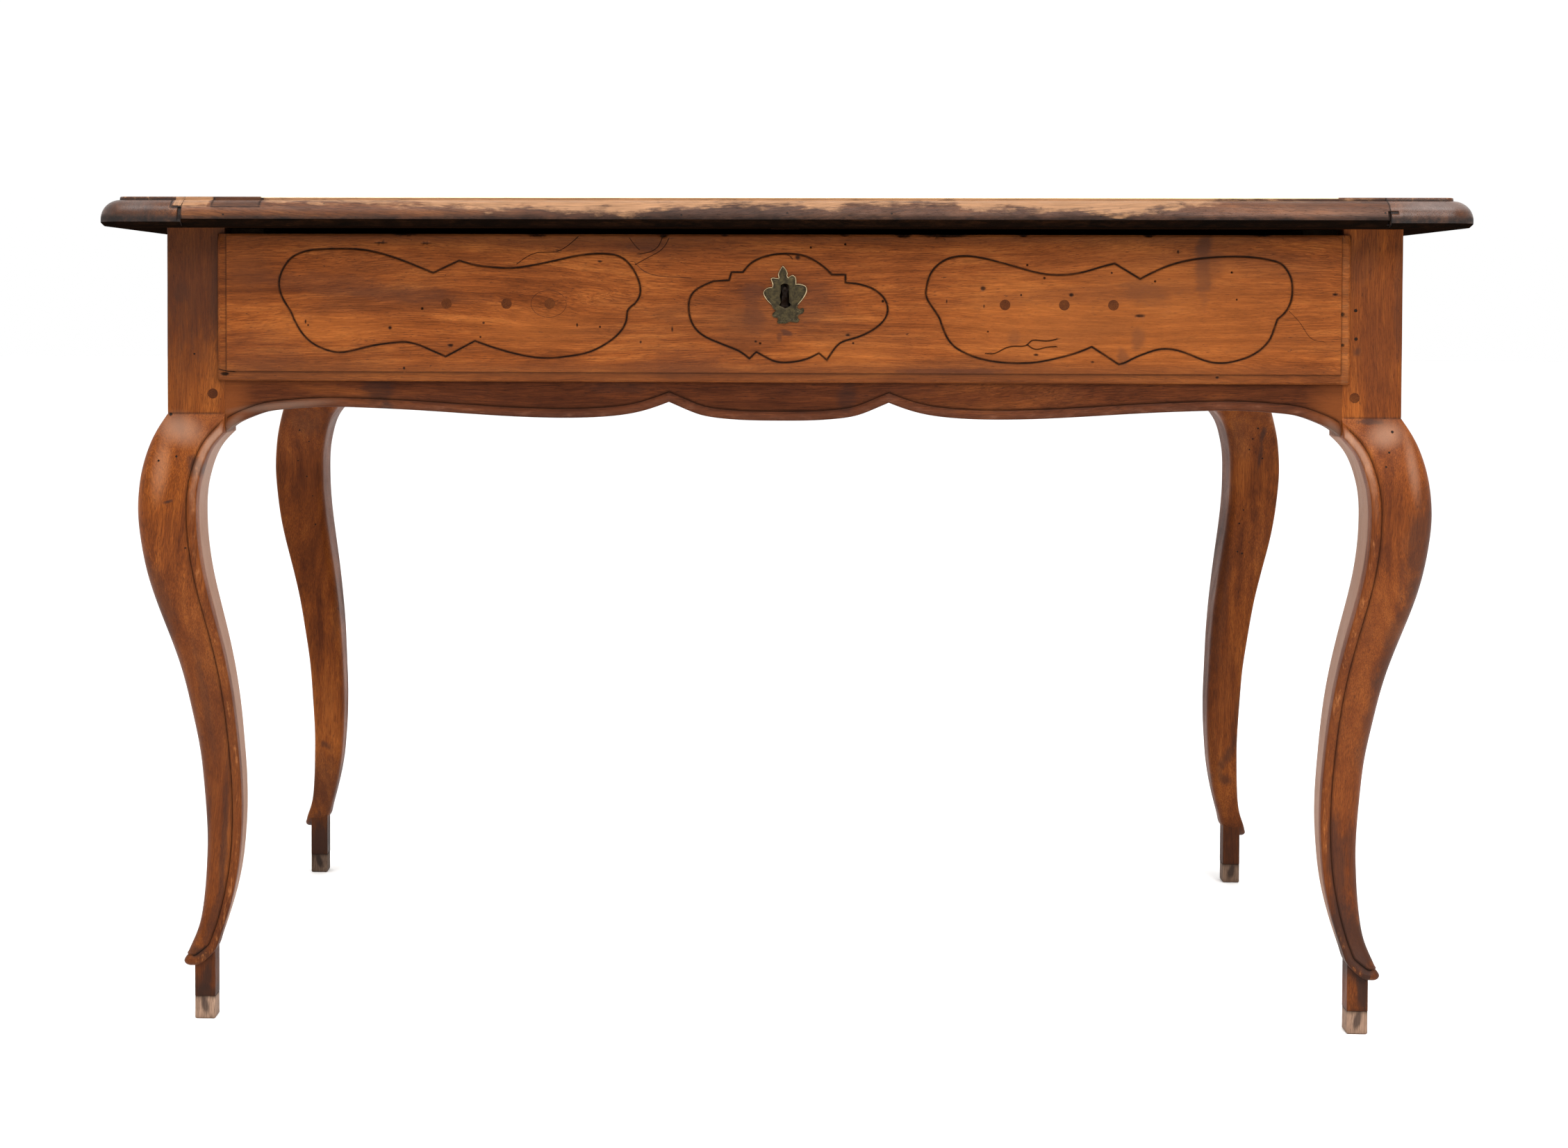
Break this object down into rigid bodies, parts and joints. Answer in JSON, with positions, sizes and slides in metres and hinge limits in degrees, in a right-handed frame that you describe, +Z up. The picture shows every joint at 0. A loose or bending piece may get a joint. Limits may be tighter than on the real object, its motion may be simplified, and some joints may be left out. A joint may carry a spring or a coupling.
{
  "type": "writing desk",
  "caption": "Writing desk on cabriole legs with added foot tips: moulded top with boards across its ends, shaped beaded aprons and a long lipped drawer with a lock and incised cartouches.",
  "frame": {"origin": "on the floor, under the middle of the top", "axes": "+X along the desk to the viewer's right, +Y from the drawer front to the back, +Z up"},
  "size_m": [1.19, 0.702, 0.74],
  "materials": {
    "top_wood": "waxed, worn satin",
    "leg_wood": "waxed, worn satin",
    "apron_wood": "waxed, worn satin",
    "tip_wood": "dull, stained at the joint",
    "peg_wood": "dull",
    "front_wood": "waxed satin",
    "inner_wood": "bare, dull",
    "iron": "dark, lightly rusted",
    "brass": "dark, worn bright on edges"
  },
  "bodies": {
    "table": {"top_board_front": "top_wood", "top_board_middle": "top_wood", "top_board_back": "top_wood", "top_end_left": "top_wood", "top_end_right": "top_wood", "leg_front_left": "leg_wood", "leg_front_right": "leg_wood", "leg_back_left": "leg_wood", "leg_back_right": "leg_wood", "front_apron": "apron_wood", "back_apron": "apron_wood", "left_apron": "apron_wood", "right_apron": "apron_wood", "foot_tip_front_left": "tip_wood", "foot_tip_front_right": "tip_wood", "foot_tip_back_left": "tip_wood", "foot_tip_back_right": "tip_wood", "top_fixing_pegs": "peg_wood", "top_end_pegs": "peg_wood", "foot_dowels": "peg_wood", "front_apron_pegs": "peg_wood", "back_apron_pegs": "peg_wood", "left_apron_pegs": "peg_wood", "right_apron_pegs": "peg_wood", "drawer_runner_left": "inner_wood", "drawer_runner_right": "inner_wood", "drawer_guide_left": "inner_wood", "drawer_guide_right": "inner_wood", "drawer_kicker_left": "inner_wood", "drawer_kicker_right": "inner_wood", "runner_nails_left": "iron", "runner_nails_right": "iron"},
    "drawer": {"drawer_front": "front_wood", "drawer_side_left": "inner_wood", "drawer_side_right": "inner_wood", "drawer_back": "inner_wood", "drawer_bottom_left": "inner_wood", "drawer_bottom_middle": "inner_wood", "drawer_bottom_right": "inner_wood", "drawer_bottom_nails": "iron", "drawer_front_plugs": "peg_wood", "lock_case": "iron", "lock_plate": "iron", "lock_nails": "iron", "lock_drill_pin": "iron", "escutcheon": "brass", "escutcheon_pins": "brass"},
    "lock_bolt": {"lock_bolt": "iron"}
  },
  "joints": [
    {"name": "drawer_slide", "type": "slide", "parent": "table", "child": "drawer", "axis": [0, -1, 0], "range_m": [0, 0.4]},
    {"name": "bolt_slide", "type": "slide", "parent": "drawer", "child": "lock_bolt", "axis": [0, 0, 1], "range_m": [0, 0.01]}
  ]
}
